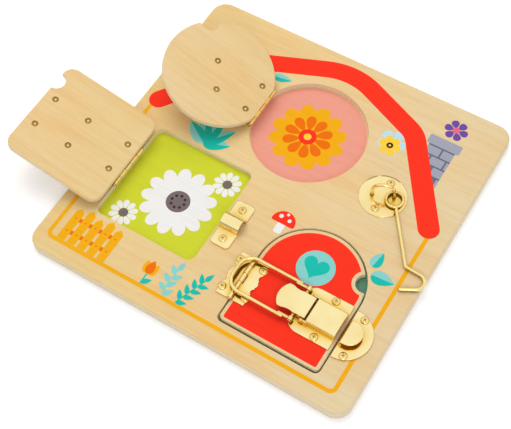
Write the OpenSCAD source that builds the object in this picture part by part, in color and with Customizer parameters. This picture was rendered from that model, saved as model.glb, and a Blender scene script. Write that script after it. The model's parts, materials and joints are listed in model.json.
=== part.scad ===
// Wooden busy board: a two-layer plywood board with a square, a round and a barn-shaped door, each on a
// brass butterfly hinge, and four latches: a barrel bolt, a hook and staple, a toggle latch and their keepers.
// Frame: origin at the middle of the board's underside, X to the right, Y up the picture, Z out of it.
// Every door is drawn closed; swung_open() turns the square and the round one to where they stand open.

/* [Board] */
// Side of the square board
board_side = 300; // [290:5:320]
// Radius of the board's corners
board_corner = 14; // [10:1:20]
// Thickness of the front panel, which the openings are cut through
front_t = 5.5; // [5.5:0.5:7]
// Thickness of the back panel, which closes the openings from behind
back_t = 3.5; // [3:0.5:5]
// Radius of the eased outer edges
board_ease = 2; // [1:0.5:2.5]

/* [Doors] */
// Thickness of the three doors
door_t = 5.2; // [5:0.1:5.3]
// Radius of the doors' eased edges
door_ease = 0.8; // [0.5:0.1:1]
// Gap between a door and its opening
door_gap = 1.5; // [1.3:0.1:2]
// Radius of the finger notches
notch_r = 8.5; // [7:0.1:9]

/* [Square door] */
// Place of its hinge line on X
square_axis_x = -116.9; // [-117.5:0.1:-116.5]
// Middle of the door on Y
square_y = -48; // [-49:0.5:-47]
// Width of the door
square_w = 93.8; // [92:0.1:94]
// Height of the door
square_h = 94.5; // [93:0.1:95]
// Radius of its corners
square_corner = 10; // [8:0.5:12]
// Angle at which it stands open
square_open = 166.2; // [150:0.1:166.2]

/* [Round door] */
// Place of its hinge line on X
round_axis_x = -50.4; // [-51:0.1:-49.5]
// Middle of the door on X
round_x = -3; // [-3.5:0.1:-2.5]
// Middle of the door on Y
round_y = 61.5; // [61:0.5:62]
// Radius of the door
round_r = 50.2; // [50:0.1:50.5]
// Angle at which it stands open
round_open = 160; // [150:0.5:160]

/* [Barn door] */
// Place of its hinge line on X
barn_axis_x = 23.3; // [23:0.1:24]
// Width of the door
barn_w = 90; // [89:0.5:91]
// Bottom edge on Y
barn_foot_y = -126; // [-127:0.5:-125.5]
// Gap below the door, wider than the others
barn_foot_gap = 2.5; // [1.5:0.1:3]
// Line on Y from which the arch rises
barn_spring_y = -61; // [-62:0.5:-60]
// Radius of its bottom corners
barn_corner = 4; // [3:0.5:5]

/* [Sheet brass and wire] */
// Thickness of the pressed brass
sheet = 1.2; // [1:0.1:1.2]
// Radius of the staples', the hook's and the bail's wire
wire_r = 1.5; // [1.4:0.05:1.6]

/* [Butterfly hinges] */
// Length of a hinge along its pin
hinge_len = 41; // [39:0.5:43]
// Radius of the knuckles
knuckle_r = 2; // [1.9:0.05:2]
// Radius of the hinge pins
hinge_pin_r = 1; // [0.9:0.05:1.1]
// Width of a leaf from the hinge line
leaf_w = 12.8; // [12.5:0.1:13]
// Distance of the screws from the hinge line
leaf_screw_x = 10.7; // [10.5:0.1:11]
// Distance between a leaf's two screws
leaf_screw_gap = 28; // [27:0.5:29]

/* [Barrel bolt and keeper] */
// Middle of the bolt and of its keeper on Y
bolt_y = -50.2; // [-51:0.1:-49.5]
// Radius of the sliding bolt
bolt_r = 2.5; // [2.3:0.1:2.5]
// Height of the bolt's middle above the board
bolt_z = 4.2; // [4.1:0.1:4.3]
// Where the casing starts, measured from the hinge line
bolt_start = 46; // [45:0.5:47]
// Length of the casing
bolt_len = 43; // [42:0.5:44]
// Travel of the bolt
bolt_travel = 21; // [20:0.5:21.5]
// Middle of the keeper on X
keeper_x = -10.2; // [-11:0.1:-10]
// Length of the keeper strap across the bolt
keeper_len = 45; // [43:0.1:46]
// Width of the keeper strap
keeper_w = 17.5; // [16:0.5:18]
// Half the width inside the keeper's arch
arch_r = 6; // [5.6:0.1:6.2]
// Height inside the keeper's arch
arch_h = 8.2; // [8:0.1:8.6]

/* [Hook and staples] */
// Middle of the hook's rosette on X
rosette_x = 83; // [82:0.5:84]
// Middle of the hook's rosette on Y
rosette_y = 36.3; // [36:0.1:37]
// Radius of a rosette
rosette_r = 20.5; // [20:0.5:21]
// Distance between a rosette's two screws
rosette_screw_gap = 27.5; // [27:0.5:28]
// Radius of a staple's bow
bow_r = 9.2; // [9:0.1:9.5]
// Height of a staple's straight legs above its rosette
leg_h = 7; // [6.5:0.1:7]
// Turn of the hook's staple from X
staple_turn = 20; // [15:1:25]
// Direction of the hook's shank from X
hook_dir = -54.2; // [-56:0.1:-52]
// Length from the staple's leg to the hook's knee
shank_len = 65.3; // [62:0.1:67]

/* [Toggle latch and catch] */
// Middle of the latch on Y
latch_y = -85.5; // [-86.5:0.5:-85]
// Place of the lever's pivot on X
pivot_x = 82; // [81.8:0.1:82.2]
// Place of the bail's pin on X
bail_pin_x = 74.5; // [74.3:0.1:74.7]
// Height of the lever's pivot above the door
pivot_z = 3.8; // [3.7:0.1:3.9]
// Height of the bail's pin above the door
bail_pin_z = 4.6; // [4.5:0.1:4.7]
// Height of the latch's box above the door
latch_h = 7.4; // [7.3:0.1:7.6]
// Reach of the bail from its pin
bail_len = 58.8; // [58.6:0.1:59.2]
// Half the distance between the bail's two wires
bail_half = 16.2; // [16:0.1:16.5]
// Radius of the bail's two outer corners
bail_corner = 12; // [10:0.5:13]
// Slope of the bail as it lies on the hinge
bail_slope = 1.5; // [1.4:0.1:1.6]
// Middle of the catch plate on Y
catch_y = -88; // [-89:0.5:-87]
// Radius of the catch plate
catch_r = 22; // [21:0.5:23]

/* [Hidden] */
$fn = 64;
face_z = back_t + front_t;                 // the board's front, and every closed door's
axis_z = face_z + knuckle_r;               // height of the three hinge lines
edge_gap = door_gap / 2;                   // from a hinge line to the wood on either side
round_chord = round_x - round_axis_x - edge_gap;
barn_r = barn_w / 2;
barn_x = barn_axis_x + edge_gap + barn_r;
shank_r = 1.3;                             // screws and rivets
hole_r = shank_r + 0.05;
head_r = 3.5;
head_h = 1.6;
tail_r = 2.1;                              // a rivet's tail, sunk into a door's back
sink_r = 2.9;
sink_h = 1.3;
pin_r = 1.15;                              // the latch's two pins
pin_bore_r = pin_r + 0.06;
screw_len = 5;                             // below the sheet of brass
latch_screw = [23, 17.65];                 // from the bail's pin
casing_r = bolt_r + 1.2;
knob_u = 10.2;                             // the knob's place along the casing
knob_r = 3.4;
stem_r = 1.55;
slot_w = 4;
pivot_u = pivot_x - bail_pin_x;
box_x0 = 11.7;                             // the box's open and closed ends, from the bail's pin
box_x1 = 37.5;
box_half = 11.5;
ear_half = 12.2;
lever_half = 9.9;
eye_mid = 14.8;                            // the bail's eyes, from the latch's middle
eye_w = 3.2;
catch_x = 117;                             // middle of the catch plate's round edge
catch_screw = [7.6, 17.3];                 // from the middle of that edge
keeper_screw_y = 15.3;                     // from the bolt's middle
bolt_screw = [4.5, 14.5];                  // from the casing's end and from the bolt's middle
square_notch = [0.7, 28];                  // from the middle of the door's free edge
round_notch_a = 47;                        // the other two notches' places round their doors
barn_notch_a = 25;
rosette_mid = [rosette_x, rosette_y];
round_rosette_mid = [round_x + 0.45, round_y - 3.25];
round_rosette_turn = -31;                  // of its staple, with the door closed

// Screw places, seen with every door closed
function leaf_screws(x, y, side) = [for (s = [-1, 1]) [x + side * leaf_screw_x, y + s * leaf_screw_gap / 2]];
function turned(mid, a, r) = [for (s = [-1, 1]) mid + s * r * [cos(a), sin(a)]];
hinges = [[square_axis_x, square_y], [round_axis_x, round_y], [barn_axis_x, catch_y]];
keeper_screws_at = [for (s = [-1, 1]) [keeper_x, bolt_y + s * keeper_screw_y]];
hook_screws_at = turned(rosette_mid, 90, rosette_screw_gap / 2);
catch_screws_at = [for (s = [-1, 1]) [catch_x + catch_screw.x, catch_y + s * catch_screw.y]];
bolt_screws_at = [for (u = [bolt_screw.x, bolt_len - bolt_screw.x], s = [-1, 1])
    [square_axis_x + bolt_start + u, bolt_y + s * bolt_screw.y]];
round_screws_at = turned(round_rosette_mid, round_rosette_turn + 90, rosette_screw_gap / 2);
latch_screws_at = [for (s = [-1, 1]) [bail_pin_x + latch_screw.x, latch_y + s * latch_screw.y]];

// ---- Shapes that several pieces share ----

module rounded_square(w, h, r) {
    square([w - 2 * r, h], center = true);
    square([w, h - 2 * r], center = true);
    for (x = [-1, 1], y = [-1, 1]) translate([x * (w / 2 - r), y * (h / 2 - r)]) circle(r);
}

// A plate's section from its middle out to its edge, eased above or on both sides
module eased_profile(reach, t, ease, both) {
    foot = both ? ease : 0;
    square([reach - ease, t]);
    translate([0, foot]) square([reach, t - ease - foot]);
    translate([reach - ease, t - ease]) circle(ease, $fn = 32);
    if (both) translate([reach - ease, ease]) circle(ease, $fn = 32);
}

// A plate of rounded plan that starts at z = 0
module eased_plate(w, h, t, r, ease, both = true) {
    straight_x = w - 2 * r;
    straight_y = h - 2 * r;
    translate([-straight_x / 2, -straight_y / 2, 0]) cube([straight_x, straight_y, t]);
    for (m = [0, 1]) mirror([0, m, 0]) {
        translate([0, straight_y / 2, 0]) rotate([90, 0, 90])
            linear_extrude(straight_x, center = true) eased_profile(r, t, ease, both);
        for (n = [0, 1]) mirror([n, 0, 0]) translate([straight_x / 2, straight_y / 2, 0])
            rotate_extrude(angle = 90) eased_profile(r, t, ease, both);
    }
    for (n = [0, 1]) mirror([n, 0, 0]) translate([straight_x / 2, 0, 0]) rotate([90, 0, 0])
        linear_extrude(straight_y, center = true) eased_profile(r, t, ease, both);
}

// A disc eased on both faces
module eased_disc(r, t, ease) {
    rotate_extrude($fn = 128) eased_profile(r, t, ease, true);
}

// A bend of round wire about the origin, in the XY plane
module wire_bend(bend_r, from, turn, r = wire_r) {
    rotate([0, 0, from]) rotate_extrude(angle = turn) translate([bend_r, 0]) circle(r, $fn = 32);
}

// Wire laid along X and bent in the XY plane, with a round start and end.
// A step is [straight length, bend radius, turn to the left], and a bend with no radius is a sharp corner.
module bent_wire(steps, i = 0) {
    ball();
    if (i < len(steps)) {
        ahead = steps[i][0];
        bend_r = steps[i][1];
        turn = steps[i][2];
        rotate([0, 90, 0]) cylinder(r = wire_r, h = ahead, $fn = 32);
        translate([ahead, 0, 0]) {
            ball();
            if (bend_r > 0 && turn > 0) translate([0, bend_r, 0]) wire_bend(bend_r, -90, turn);
            if (bend_r > 0 && turn < 0) translate([0, -bend_r, 0]) wire_bend(bend_r, 90 + turn, -turn);
            translate([bend_r * sin(abs(turn)), bend_r * (1 - cos(turn)) * sign(turn), 0]) rotate([0, 0, turn])
                bent_wire(steps, i + 1);
        }
    }
}

// The end of a wire, a hair thicker than the wire, which covers where two stretches of it meet
module ball() {
    sphere(wire_r + 0.06, $fn = 32);
}

// A domed screw or rivet head that stands on z = 0, with its cross recess
module head() {
    dome_r = 5.6;
    cross_len = 3.8;
    cross_w = 0.7;
    cross_depth = 0.9;
    difference() {
        intersection() {
            cylinder(r = head_r, h = head_h);
            translate([0, 0, head_h - dome_r]) sphere(dome_r);
        }
        for (a = [0, 90]) rotate([0, 0, a])
            translate([-cross_len / 2, -cross_w / 2, head_h - cross_depth]) cube([cross_len, cross_w, 1]);
    }
}

module screws(places) {
    for (p = places) translate([p.x, p.y, face_z + sheet]) {
        head();
        translate([0, 0, -screw_len]) cylinder(r = shank_r, h = screw_len);
    }
}

// Rivets run right through a door and end in a tail sunk into its back
module rivets(places) {
    foot = 0.2 - door_t;               // just inside the door's back
    eyelet_r = 0.8;
    eyelet_h = 0.7;
    for (p = places) translate([p.x, p.y, face_z]) {
        translate([0, 0, sheet]) head();
        translate([0, 0, foot]) cylinder(r = shank_r, h = sheet - foot);
        difference() {
            translate([0, 0, foot]) cylinder(r = tail_r, h = sink_h - 0.2);
            translate([0, 0, foot - 0.3]) cylinder(r = eyelet_r, h = eyelet_h + 0.3);
        }
    }
}

module screw_holes(places, top, depth) {
    for (p = places) translate([p.x, p.y, top - depth]) cylinder(r = hole_r, h = depth + 0.1);
}

module rivet_holes(places) {
    for (p = places) translate([p.x, p.y, face_z - door_t - 0.1]) {
        cylinder(r = hole_r, h = door_t + 0.2);
        cylinder(r = sink_r, h = sink_h + 0.1);
    }
}

module swung_open(axis_x, angle) {
    translate([axis_x, 0, axis_z]) rotate([0, -angle, 0]) translate([-axis_x, 0, -axis_z]) children();
}

// ---- Board ----

module square_opening() {
    translate([square_axis_x + edge_gap + square_w / 2, square_y])
        rounded_square(square_w + 2 * door_gap, square_h + 2 * door_gap, square_corner - 3);
}

module round_opening() {
    difference() {
        translate([round_x, round_y]) circle(round_r + door_gap, $fn = 128);
        translate([round_axis_x - edge_gap - 20, round_y - 40]) square([20, 80]);
    }
}

module barn_opening() {
    w = barn_w + 2 * door_gap;
    h = barn_spring_y - barn_foot_y + barn_foot_gap;
    translate([barn_x, barn_spring_y]) circle(w / 2, $fn = 128);
    translate([barn_x - w / 2, barn_spring_y - h / 2]) square([w, h / 2]);
    translate([barn_x, barn_spring_y - h * 0.6]) rounded_square(w, h * 0.8, barn_corner + 1);
}

module front_panel() {
    color("burlywood") difference() {
        translate([0, 0, back_t]) eased_plate(board_side, board_side, front_t, board_corner, board_ease, false);
        translate([0, 0, back_t - 1]) linear_extrude(front_t + 2) {
            square_opening();
            round_opening();
            barn_opening();
        }
        for (h = hinges) screw_holes(leaf_screws(h.x, h.y, -1), face_z, screw_len - sheet);
        screw_holes(concat(keeper_screws_at, hook_screws_at, catch_screws_at), face_z, screw_len - sheet);
    }
}

module back_panel() {
    color("wheat") translate([0, 0, back_t]) mirror([0, 0, 1])
        eased_plate(board_side, board_side, back_t, board_corner, board_ease / 2, false);
}

// ---- Butterfly hinges ----

// side is -1 for the leaf on the board, which has three knuckles, and 1 for the leaf on the door, which has two
module hinge_leaf(at, side) {
    pitch = hinge_len / 5;
    knuckle_len = pitch - 0.3;
    own = side < 0 ? [-2, 0, 2] : [-1, 1];
    leaf_x = knuckle_r + 0.4;          // clear of the other leaf's knuckles
    lobe_r = 3.9;
    middle_r = 3.2;
    valley_r = 3;
    valley = [leaf_w + 1.5, 6.6];      // the scallops between the three lobes
    color("gold") translate([at.x, at.y, face_z]) difference() {
        union() {
            linear_extrude(sheet) mirror([side < 0 ? 1 : 0, 0]) {
                difference() {
                    translate([leaf_x, -hinge_len / 2]) square([leaf_w - leaf_x, hinge_len]);
                    for (y = [-1, 1]) translate([valley.x, y * valley.y]) circle(valley_r);
                }
                for (y = [-1, 1]) translate([leaf_screw_x, y * leaf_screw_gap / 2]) circle(lobe_r);
                translate([leaf_w + 1 - middle_r, 0]) circle(middle_r);
                for (k = own) translate([0, k * pitch - knuckle_len / 2]) square([leaf_w / 2, knuckle_len]);
            }
            for (k = own)
                translate([0, k * pitch, knuckle_r]) rotate([90, 0, 0])
                    cylinder(r = knuckle_r, h = knuckle_len, center = true, $fn = 48);
        }
        translate([0, 0, knuckle_r]) rotate([90, 0, 0])
            cylinder(r = hinge_pin_r + 0.05, h = hinge_len + 1, center = true, $fn = 48);
        for (y = [-1, 1])
            translate([side * leaf_screw_x, y * leaf_screw_gap / 2, -1]) cylinder(r = hole_r, h = sheet + 2);
    }
}

module hinge_pin(at) {
    pin_head_h = 0.7;
    pin_head_mid = hinge_len / 2 + 0.5;
    color("gold") translate([at.x, at.y, axis_z]) rotate([90, 0, 0]) {
        cylinder(r = hinge_pin_r, h = hinge_len + 0.4, center = true, $fn = 48);
        for (s = [-1, 1]) translate([0, 0, s * pin_head_mid])
            cylinder(r = hinge_pin_r + 0.6, h = pin_head_h, center = true, $fn = 48);
    }
}

module square_hinge_board_leaf() { hinge_leaf(hinges[0], -1); }
module round_hinge_board_leaf() { hinge_leaf(hinges[1], -1); }
module barn_hinge_board_leaf() { hinge_leaf(hinges[2], -1); }
module square_hinge_pin() { hinge_pin(hinges[0]); }
module round_hinge_pin() { hinge_pin(hinges[1]); }
module barn_hinge_pin() { hinge_pin(hinges[2]); }

module board_hinge_screws() {
    color("goldenrod") for (h = hinges) screws(leaf_screws(h.x, h.y, -1));
}

module square_hinge_door_leaf() {
    swung_open(square_axis_x, square_open) hinge_leaf(hinges[0], 1);
}

module round_hinge_door_leaf() {
    swung_open(round_axis_x, round_open) hinge_leaf(hinges[1], 1);
}

module barn_hinge_door_leaf() { hinge_leaf(hinges[2], 1); }

module square_hinge_rivets() {
    color("goldenrod") swung_open(square_axis_x, square_open) rivets(leaf_screws(hinges[0].x, hinges[0].y, 1));
}

module round_hinge_rivets() {
    color("goldenrod") swung_open(round_axis_x, round_open) rivets(leaf_screws(hinges[1].x, hinges[1].y, 1));
}

module barn_hinge_rivets() {
    color("goldenrod") rivets(leaf_screws(hinges[2].x, hinges[2].y, 1));
}

// ---- Square door, its barrel bolt and the keeper on the board ----

module square_door() {
    left = square_axis_x + edge_gap;
    color("burlywood") swung_open(square_axis_x, square_open) difference() {
        translate([left + square_w / 2, square_y, face_z - door_t])
            eased_plate(square_w, square_h, door_t, square_corner, door_ease);
        translate([left + square_w + square_notch.x, square_y + square_notch.y, 0])
            cylinder(r = notch_r, h = 20);
        rivet_holes(concat(leaf_screws(hinges[0].x, hinges[0].y, 1), bolt_screws_at));
    }
}

module bolt_casing() {
    start = square_axis_x + bolt_start;
    slot = bolt_travel + slot_w;
    color("gold") swung_open(square_axis_x, square_open) translate([start, bolt_y, face_z]) difference() {
        union() {
            linear_extrude(sheet) translate([bolt_len / 2, 0])
                rounded_square(bolt_len + 2, 2 * bolt_screw.y + 8.6, 3);
            rotate([90, 0, 90]) linear_extrude(bolt_len) {
                translate([0, bolt_z]) circle(casing_r);
                translate([-casing_r, 0]) square([2 * casing_r, bolt_z]);
            }
        }
        translate([-2, 0, bolt_z]) rotate([0, 90, 0]) cylinder(r = bolt_r + 0.09, h = bolt_len + 4, $fn = 48);
        translate([knob_u - slot_w / 2, -slot_w / 2, bolt_z]) cube([slot, slot_w, casing_r + 1]);
        for (u = [bolt_screw.x, bolt_len - bolt_screw.x], s = [-1, 1])
            translate([u, s * bolt_screw.y, -1]) cylinder(r = hole_r, h = sheet + 2);
    }
}

module bolt_casing_rivets() {
    color("goldenrod") swung_open(square_axis_x, square_open) rivets(bolt_screws_at);
}

module bolt_rod() {
    start = square_axis_x + bolt_start;
    color("gold") swung_open(square_axis_x, square_open) difference() {
        translate([start, bolt_y, face_z + bolt_z]) {
            translate([1, 0, 0]) rotate([0, 90, 0]) cylinder(r = bolt_r, h = bolt_len - 0.5, $fn = 48);
            translate([bolt_len + 0.5, 0, 0]) sphere(bolt_r, $fn = 48);
        }
        translate([start + knob_u, bolt_y, face_z + bolt_z - 1]) cylinder(r = stem_r + 0.05, h = 5);
    }
}

// A turned knob whose stem is pressed into the rod and runs in the casing's slot
module bolt_knob() {
    start = square_axis_x + bolt_start;
    knob_mid = 10.4;                   // up from the stem's foot
    collar = [2.4, 1];
    collar_z = 5.2;
    color("gold") swung_open(square_axis_x, square_open)
        translate([start + knob_u, bolt_y, face_z + bolt_z - 1]) rotate_extrude() difference() {
            union() {
                square([stem_r, knob_mid]);
                translate([0, collar_z]) square(collar);
                translate([0, knob_mid]) circle(knob_r);
            }
            translate([-10, 0]) square([10, 20]);
        }
}

module keeper_strap() {
    bow_z = arch_h - arch_r;           // the arch's round top is centred here
    foot_r = 1.2;
    outer = arch_r + sheet;
    color("gold") translate([keeper_x, bolt_y, face_z]) difference() {
        intersection() {
            rotate([90, 0, 90]) linear_extrude(keeper_w, center = true) difference() {
                union() {
                    translate([-keeper_len / 2, 0]) square([keeper_len, sheet]);
                    translate([-outer - foot_r, 0]) square([2 * (outer + foot_r), sheet + foot_r]);
                    translate([-outer, 0]) square([2 * outer, bow_z]);
                    translate([0, bow_z]) circle(outer);
                }
                for (s = [-1, 1]) translate([s * (outer + foot_r), sheet + foot_r]) circle(foot_r, $fn = 32);
                translate([0, bow_z]) circle(arch_r);
                translate([-arch_r, -1]) square([2 * arch_r, bow_z + 1]);
            }
            linear_extrude(20) rounded_square(keeper_w, keeper_len, 3.5);
        }
        for (s = [-1, 1]) translate([0, s * keeper_screw_y, -1]) cylinder(r = hole_r, h = sheet + 2);
    }
}

module keeper_screws() { color("goldenrod") screws(keeper_screws_at); }

// ---- Rosettes, staples and the hook ----

// A dished plate with holes for a staple's two feet and for two screws
module rosette(mid, staple_a, screw_places) {
    rim_h = 0.4;
    rim_w = 1.8;
    color("gold") difference() {
        translate([mid.x, mid.y, face_z]) rotate_extrude($fn = 96)
            polygon([[0, 0], [rosette_r, 0], [rosette_r, rim_h], [rosette_r - rim_w, sheet], [0, sheet]]);
        for (p = turned(mid, staple_a, bow_r)) translate([p.x, p.y, face_z - 1])
            cylinder(r = wire_r + 0.05, h = sheet + 2);
        for (p = screw_places) translate([p.x, p.y, face_z - 1]) cylinder(r = hole_r, h = sheet + 2);
    }
}

// A half-round bow on two straight legs that are riveted into a rosette
module staple(mid, a) {
    color("gold") translate([mid.x, mid.y, face_z]) rotate([0, 0, a]) {
        for (s = [-1, 1]) translate([s * bow_r, 0, 0]) cylinder(r = wire_r, h = sheet + leg_h, $fn = 32);
        translate([0, 0, sheet + leg_h]) rotate([90, 0, 0]) wire_bend(bow_r, 0, 180);
    }
}

module hook_rosette() { rosette(rosette_mid, staple_turn, hook_screws_at); }
module hook_staple() { staple(rosette_mid, staple_turn); }
module hook_rosette_screws() { color("goldenrod") screws(hook_screws_at); }

module round_rosette() {
    swung_open(round_axis_x, round_open) rosette(round_rosette_mid, round_rosette_turn, round_screws_at);
}

module round_staple() {
    swung_open(round_axis_x, round_open) staple(round_rosette_mid, round_rosette_turn);
}

module round_rosette_rivets() {
    color("goldenrod") swung_open(round_axis_x, round_open) rivets(round_screws_at);
}

// One bent wire: an eye round the staple's leg, a straight shank, a knee and an open hook
module hook() {
    eye_r = 7;
    eye_x = 3.4;                       // the eye hangs off centre on the staple's leg
    lift = 0.3;
    dip = 0.8;                         // the shank slopes from the rosette down to the board
    knee_r = 2;
    knee_turn = 51;
    knee_cut = knee_r * tan(knee_turn / 2);
    reach = 13.5;                      // from the knee to the open hook
    bow = [7, -148];                   // the open hook's radius and turn
    tip_len = 12.5;
    leg = turned(rosette_mid, staple_turn, bow_r)[1];
    color("gold") translate([leg.x, leg.y, face_z + sheet + wire_r + lift])
        rotate([0, 0, hook_dir]) rotate([0, dip, 0]) {
            translate([eye_x, 0, 0]) wire_bend(eye_r, 0, 360, wire_r - 0.1);
            translate([eye_x + eye_r, 0, 0]) bent_wire([
                [shank_len - eye_x - eye_r - knee_cut, knee_r, knee_turn],
                [reach - knee_cut, bow[0], bow[1]],
                [tip_len, 0, 0]]);
        }
}

// ---- Round door ----

module round_door() {
    color("burlywood") swung_open(round_axis_x, round_open) difference() {
        translate([round_x, round_y, face_z - door_t]) eased_disc(round_r, door_t, door_ease);
        translate([round_x - round_chord - 20, round_y - 40, 0]) cube([20, 80, 20]);
        translate([round_x + round_r * cos(round_notch_a), round_y + round_r * sin(round_notch_a), 0])
            cylinder(r = notch_r + 0.7, h = 20);
        rivet_holes(concat(leaf_screws(hinges[1].x, hinges[1].y, 1), round_screws_at));
    }
}

// ---- Barn door ----

module barn_door() {
    tall = barn_spring_y - barn_foot_y + 20;
    color("tomato") difference() {
        union() {
            translate([barn_x, barn_spring_y, face_z - door_t]) eased_disc(barn_r, door_t, door_ease);
            difference() {
                translate([barn_x, barn_foot_y + tall / 2, face_z - door_t])
                    eased_plate(barn_w, tall, door_t, barn_corner, door_ease);
                translate([barn_x - barn_w, barn_spring_y, 0]) cube([2 * barn_w, 100, 20]);
            }
        }
        translate([barn_x + barn_r * cos(barn_notch_a), barn_spring_y + barn_r * sin(barn_notch_a), 0])
            cylinder(r = notch_r, h = 20);
        rivet_holes(concat(leaf_screws(hinges[2].x, hinges[2].y, 1), latch_screws_at));
    }
}

// ---- Toggle latch on the barn door ----
// Its pieces are drawn from the bail's pin along X, from the latch's middle along Y and up from the door.

module latch_place() {
    translate([bail_pin_x, latch_y, face_z]) children();
}

// A side profile made a wall of sheet brass on either side, half away from the latch's middle
module side_walls(half) {
    for (s = [-1, 1]) translate([0, s * (half - sheet / 2), 0]) rotate([90, 0, 0])
        linear_extrude(sheet, center = true) children();
}

// The box's section, with rounded shoulders, shrunk by its wall for the inside
module box_profile(wall) {
    half = box_half - wall;
    top = latch_h - wall;
    shoulder = 2 - wall;
    foot = wall > 0 ? sheet : 0;
    translate([-half, foot]) square([2 * half, top - shoulder - foot]);
    translate([-half + shoulder, foot]) square([2 * (half - shoulder), top - foot]);
    for (s = [-1, 1]) translate([s * (half - shoulder), top - shoulder]) circle(shoulder, $fn = 32);
}

module latch_base() {
    flange_half = 21.3;
    flange_x0 = -2.5;
    flange_corner = 11;
    ear_r = 2.3;
    color("gold") latch_place() difference() {
        union() {
            linear_extrude(sheet) {
                translate([flange_x0 + flange_corner, -flange_half])
                    square([box_x1 - flange_x0 - flange_corner, 2 * flange_half]);
                for (s = [-1, 1])
                    translate([flange_x0 + flange_corner, s * (flange_half - flange_corner)]) circle(flange_corner);
                translate([flange_x0, flange_corner - flange_half])
                    square([20, 2 * (flange_half - flange_corner)]);
            }
            rotate([90, 0, 90]) translate([0, 0, box_x0]) linear_extrude(box_x1 - box_x0) box_profile(0);
            side_walls(ear_half) {
                translate([pivot_u, pivot_z]) circle(ear_r);
                translate([pivot_u - ear_r, 0]) square([box_x0 - pivot_u + ear_r + 1, pivot_z]);
                translate([pivot_u, 0]) square([box_x0 - pivot_u + 1, pivot_z + ear_r]);
            }
        }
        rotate([90, 0, 90]) translate([0, 0, box_x0 - 1]) linear_extrude(box_x1 - box_x0 + 1 - sheet)
            box_profile(sheet);
        translate([box_x0 - 10, 0, sheet]) linear_extrude(latch_h) translate([0, -box_half + sheet])
            square([10, 2 * (box_half - sheet)]);
        translate([pivot_u, 0, pivot_z]) rotate([90, 0, 0])
            cylinder(r = pin_bore_r, h = 2 * ear_half + 2, center = true, $fn = 48);
        for (s = [-1, 1]) translate([latch_screw.x, s * latch_screw.y, -1]) cylinder(r = hole_r, h = sheet + 2);
    }
}

module latch_base_rivets() { color("goldenrod") rivets(latch_screws_at); }

// A pin across the latch, with a flat head at either end
module latch_pin(half) {
    pin_head_h = 0.6;
    rotate([90, 0, 0]) {
        cylinder(r = pin_r, h = 2 * half, center = true, $fn = 48);
        for (s = [-1, 1]) translate([0, 0, s * (half + pin_head_h / 2)])
            cylinder(r = pin_r + 0.7, h = pin_head_h, center = true);
    }
}

module lever_pin() {
    color("goldenrod") latch_place() translate([pivot_u, 0, pivot_z]) latch_pin(ear_half);
}

// A pressed tongue with a round finger end and a waist, on two side walls that take the two pins
module latch_lever() {
    end_x = 9.8;
    wall_r = 2.1;
    waist_x = -5;
    waist_r = 16;
    waist_half = 9.5;
    finger_x = -4;                     // middle of the finger end's arc
    finger_r = 15;
    finger_half = 10.7;
    color("gold") latch_place() difference() {
        union() {
            translate([0, 0, latch_h - sheet]) linear_extrude(sheet) difference() {
                union() {
                    intersection() {
                        translate([finger_x, 0]) circle(finger_r, $fn = 96);
                        translate([-20, -finger_half]) square([20, 2 * finger_half]);
                    }
                    translate([-2, -lever_half]) square([end_x + 2, 2 * lever_half]);
                }
                for (s = [-1, 1]) translate([waist_x, s * (waist_half + waist_r)]) circle(waist_r, $fn = 96);
            }
            side_walls(lever_half) {
                translate([0, bail_pin_z]) circle(wall_r);
                translate([pivot_u, pivot_z]) circle(wall_r);
                translate([0, bail_pin_z - wall_r]) square([pivot_u, 2 * wall_r]);
                translate([0, bail_pin_z]) square([end_x, latch_h - bail_pin_z - 0.3]);
                translate([0, pivot_z]) square([pivot_u + wall_r, 1]);
            }
        }
        for (p = [[0, bail_pin_z], [pivot_u, pivot_z]]) translate([p.x, 0, p.y]) rotate([90, 0, 0])
            cylinder(r = pin_bore_r, h = 2 * lever_half + 2, center = true, $fn = 48);
    }
}

module bail_pin() {
    color("goldenrod") latch_place() translate([0, 0, bail_pin_z]) latch_pin(eye_mid + eye_w / 2 + 0.3);
}

// A loop of wire on two eyes that turn on the bail's pin, with a joggle that widens it past the lever
module latch_bail() {
    eye_r = 2.2;
    eye_edge = 1.6;
    neck_end = 10.5;
    side_start = 7.5;
    neck_r = wire_r - 0.1;
    corner_x = bail_len - bail_corner;
    corner_y = bail_half - bail_corner;
    color("gold") latch_place() translate([0, 0, bail_pin_z]) rotate([0, bail_slope, 0]) difference() {
        union() {
            for (s = [-1, 1]) {
                translate([0, s * eye_mid, 0]) rotate([90, 0, 0])
                    cylinder(r = eye_r, h = eye_w, center = true, $fn = 48);
                translate([-neck_end, s * eye_mid, 0]) {
                    rotate([0, 90, 0]) cylinder(r = neck_r, h = neck_end - eye_edge, $fn = 32);
                    sphere(neck_r, $fn = 32);
                }
                translate([-corner_x, s * bail_half, 0])
                    rotate([0, 90, 0]) cylinder(r = wire_r, h = corner_x - side_start, $fn = 32);
                translate([-side_start, s * bail_half, 0]) sphere(wire_r, $fn = 32);
                translate([-corner_x, s * corner_y, 0]) wire_bend(bail_corner, s > 0 ? 90 : 180, 90);
            }
            translate([-bail_len, 0, 0]) rotate([90, 0, 0])
                cylinder(r = wire_r, h = 2 * corner_y, center = true, $fn = 32);
        }
        rotate([90, 0, 0]) cylinder(r = pin_bore_r, h = 50, center = true, $fn = 48);
    }
}

// ---- Catch plate on the board ----

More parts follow.
